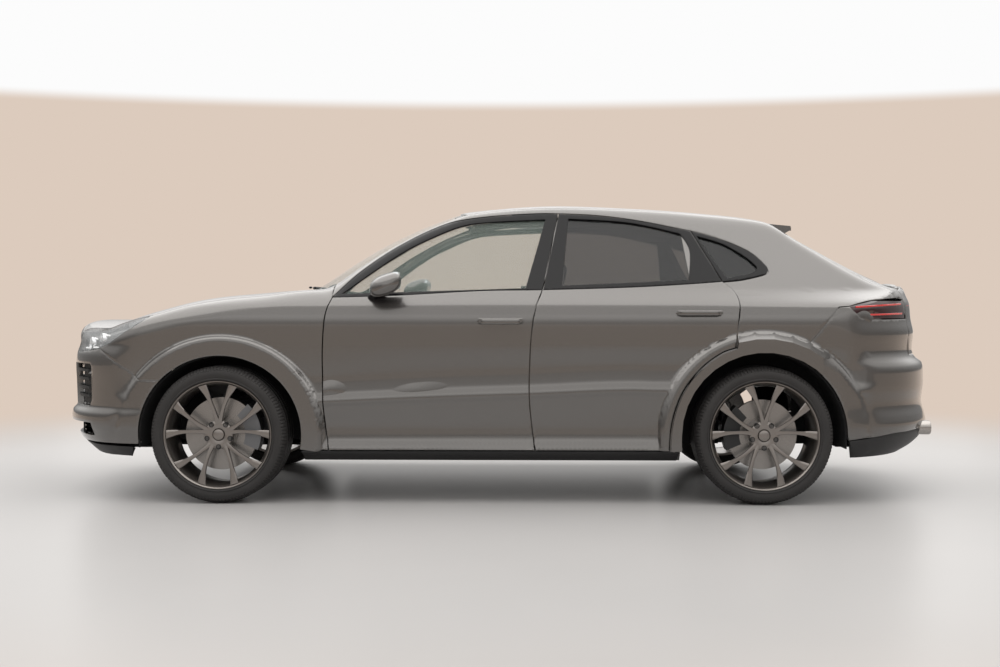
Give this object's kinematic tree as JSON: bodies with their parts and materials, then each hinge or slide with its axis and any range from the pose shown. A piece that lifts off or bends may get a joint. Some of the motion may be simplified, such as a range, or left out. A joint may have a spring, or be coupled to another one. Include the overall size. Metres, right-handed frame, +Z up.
{
  "type": "coupe sport utility vehicle",
  "caption": "Sloping-roofed sport utility vehicle with opening doors, hood and tailgate, steering front wheels and free-turning wheels.",
  "frame": {"origin": "on the ground, under the middle of the car's overall box", "axes": "+X towards the tail, the left side is -Y, +Z up"},
  "size_m": [4.931, 2.187, 1.634],
  "materials": {
    "paint": "mid grey metallic clear coat",
    "black_plastic": "matt black moulded",
    "clear_lamp": "clear lens over a dark housing",
    "red_lamp": "red lens",
    "clear_glass": "clear, slightly green",
    "dark_glass": "dark privacy tint",
    "chassis_steel": "dark primer",
    "engine_alloy": "cast",
    "exhaust_steel": "brushed",
    "seat_leather": "black, matt",
    "tyre_rubber": "matt",
    "wheel_alloy": "satin grey",
    "disc_iron": "machined"
  },
  "bodies": {
    "body": {"body_side_left": "paint", "body_side_right": "paint", "front_fenders": "paint", "front_bumper": "paint", "front_grilles": "black_plastic", "headlamps": "clear_lamp", "rear_bumper": "paint", "tail_lamps": "red_lamp", "windscreen": "clear_glass", "roof_panel": "paint", "roof_window": "dark_glass", "quarter_windows": "dark_glass", "front_axle": "chassis_steel", "rear_axle": "chassis_steel", "floor_pan": "chassis_steel", "firewall": "chassis_steel", "wheel_housings": "black_plastic", "engine": "engine_alloy", "undertray": "black_plastic", "exhaust": "exhaust_steel", "front_seats": "seat_leather", "rear_seat": "seat_leather", "dashboard": "black_plastic", "steering_wheel": "black_plastic"},
    "hood": {"hood": "paint"},
    "tailgate": {"tailgate_panel": "paint", "light_strip": "red_lamp", "rear_window": "dark_glass", "rear_spoiler": "paint"},
    "front_door_left": {"front_door_panel_left": "paint", "front_door_glass_left": "clear_glass", "mirror_left": "paint"},
    "rear_door_left": {"rear_door_panel_left": "paint", "rear_door_glass_left": "dark_glass"},
    "front_door_right": {"front_door_panel_right": "paint", "front_door_glass_right": "clear_glass", "mirror_right": "paint"},
    "rear_door_right": {"rear_door_panel_right": "paint", "rear_door_glass_right": "dark_glass"},
    "knuckle_left": {"front_knuckle_left": "chassis_steel"},
    "knuckle_right": {"front_knuckle_right": "chassis_steel"},
    "wheel_front_left": {"tyre_front_left": "tyre_rubber", "rim_front_left": "wheel_alloy", "brake_disc_front_left": "disc_iron"},
    "wheel_front_right": {"tyre_front_right": "tyre_rubber", "rim_front_right": "wheel_alloy", "brake_disc_front_right": "disc_iron"},
    "wheel_rear_left": {"tyre_rear_left": "tyre_rubber", "rim_rear_left": "wheel_alloy", "brake_disc_rear_left": "disc_iron"},
    "wheel_rear_right": {"tyre_rear_right": "tyre_rubber", "rim_rear_right": "wheel_alloy", "brake_disc_rear_right": "disc_iron"}
  },
  "joints": [
    {"name": "front_door_left", "type": "hinge", "parent": "body", "child": "front_door_left", "pos_m": [-0.8395, -0.915, 0.65], "axis": [0, 0, -1], "range_deg": [0, 68]},
    {"name": "rear_door_left", "type": "hinge", "parent": "body", "child": "rear_door_left", "pos_m": [0.264, -0.915, 0.65], "axis": [0, 0, -1], "range_deg": [0, 68]},
    {"name": "front_door_right", "type": "hinge", "parent": "body", "child": "front_door_right", "pos_m": [-0.8395, 0.915, 0.65], "axis": [0, 0, 1], "range_deg": [0, 68]},
    {"name": "rear_door_right", "type": "hinge", "parent": "body", "child": "rear_door_right", "pos_m": [0.264, 0.915, 0.65], "axis": [0, 0, 1], "range_deg": [0, 68]},
    {"name": "hood", "type": "hinge", "parent": "body", "child": "hood", "pos_m": [-1.0055, 0, 1.138], "axis": [0, 1, 0], "range_deg": [0, 50]},
    {"name": "tailgate", "type": "hinge", "parent": "body", "child": "tailgate", "pos_m": [1.4435, 0, 1.556], "axis": [0, -1, 0], "range_deg": [0, 72]},
    {"name": "steer_left", "type": "hinge", "parent": "body", "child": "knuckle_left", "pos_m": [-1.4755, -0.79, 0.366], "axis": [0, 0, 1], "range_deg": [-35, 35]},
    {"name": "steer_right", "type": "hinge", "parent": "body", "child": "knuckle_right", "pos_m": [-1.4755, 0.79, 0.366], "axis": [0, 0, 1], "range_deg": [-35, 35]},
    {"name": "spin_front_left", "type": "hinge", "parent": "knuckle_left", "child": "wheel_front_left", "pos_m": [-1.4755, -0.8375, 0.366], "axis": [0, 1, 0], "continuous": true},
    {"name": "spin_rear_left", "type": "hinge", "parent": "body", "child": "wheel_rear_left", "pos_m": [1.4195, -0.8225, 0.366], "axis": [0, 1, 0], "continuous": true},
    {"name": "spin_front_right", "type": "hinge", "parent": "knuckle_right", "child": "wheel_front_right", "pos_m": [-1.4755, 0.8375, 0.366], "axis": [0, 1, 0], "continuous": true},
    {"name": "spin_rear_right", "type": "hinge", "parent": "body", "child": "wheel_rear_right", "pos_m": [1.4195, 0.8225, 0.366], "axis": [0, 1, 0], "continuous": true}
  ],
  "couplings": [
    {"joint": "steer_right", "follows": "steer_left", "ratio": 1}
  ]
}
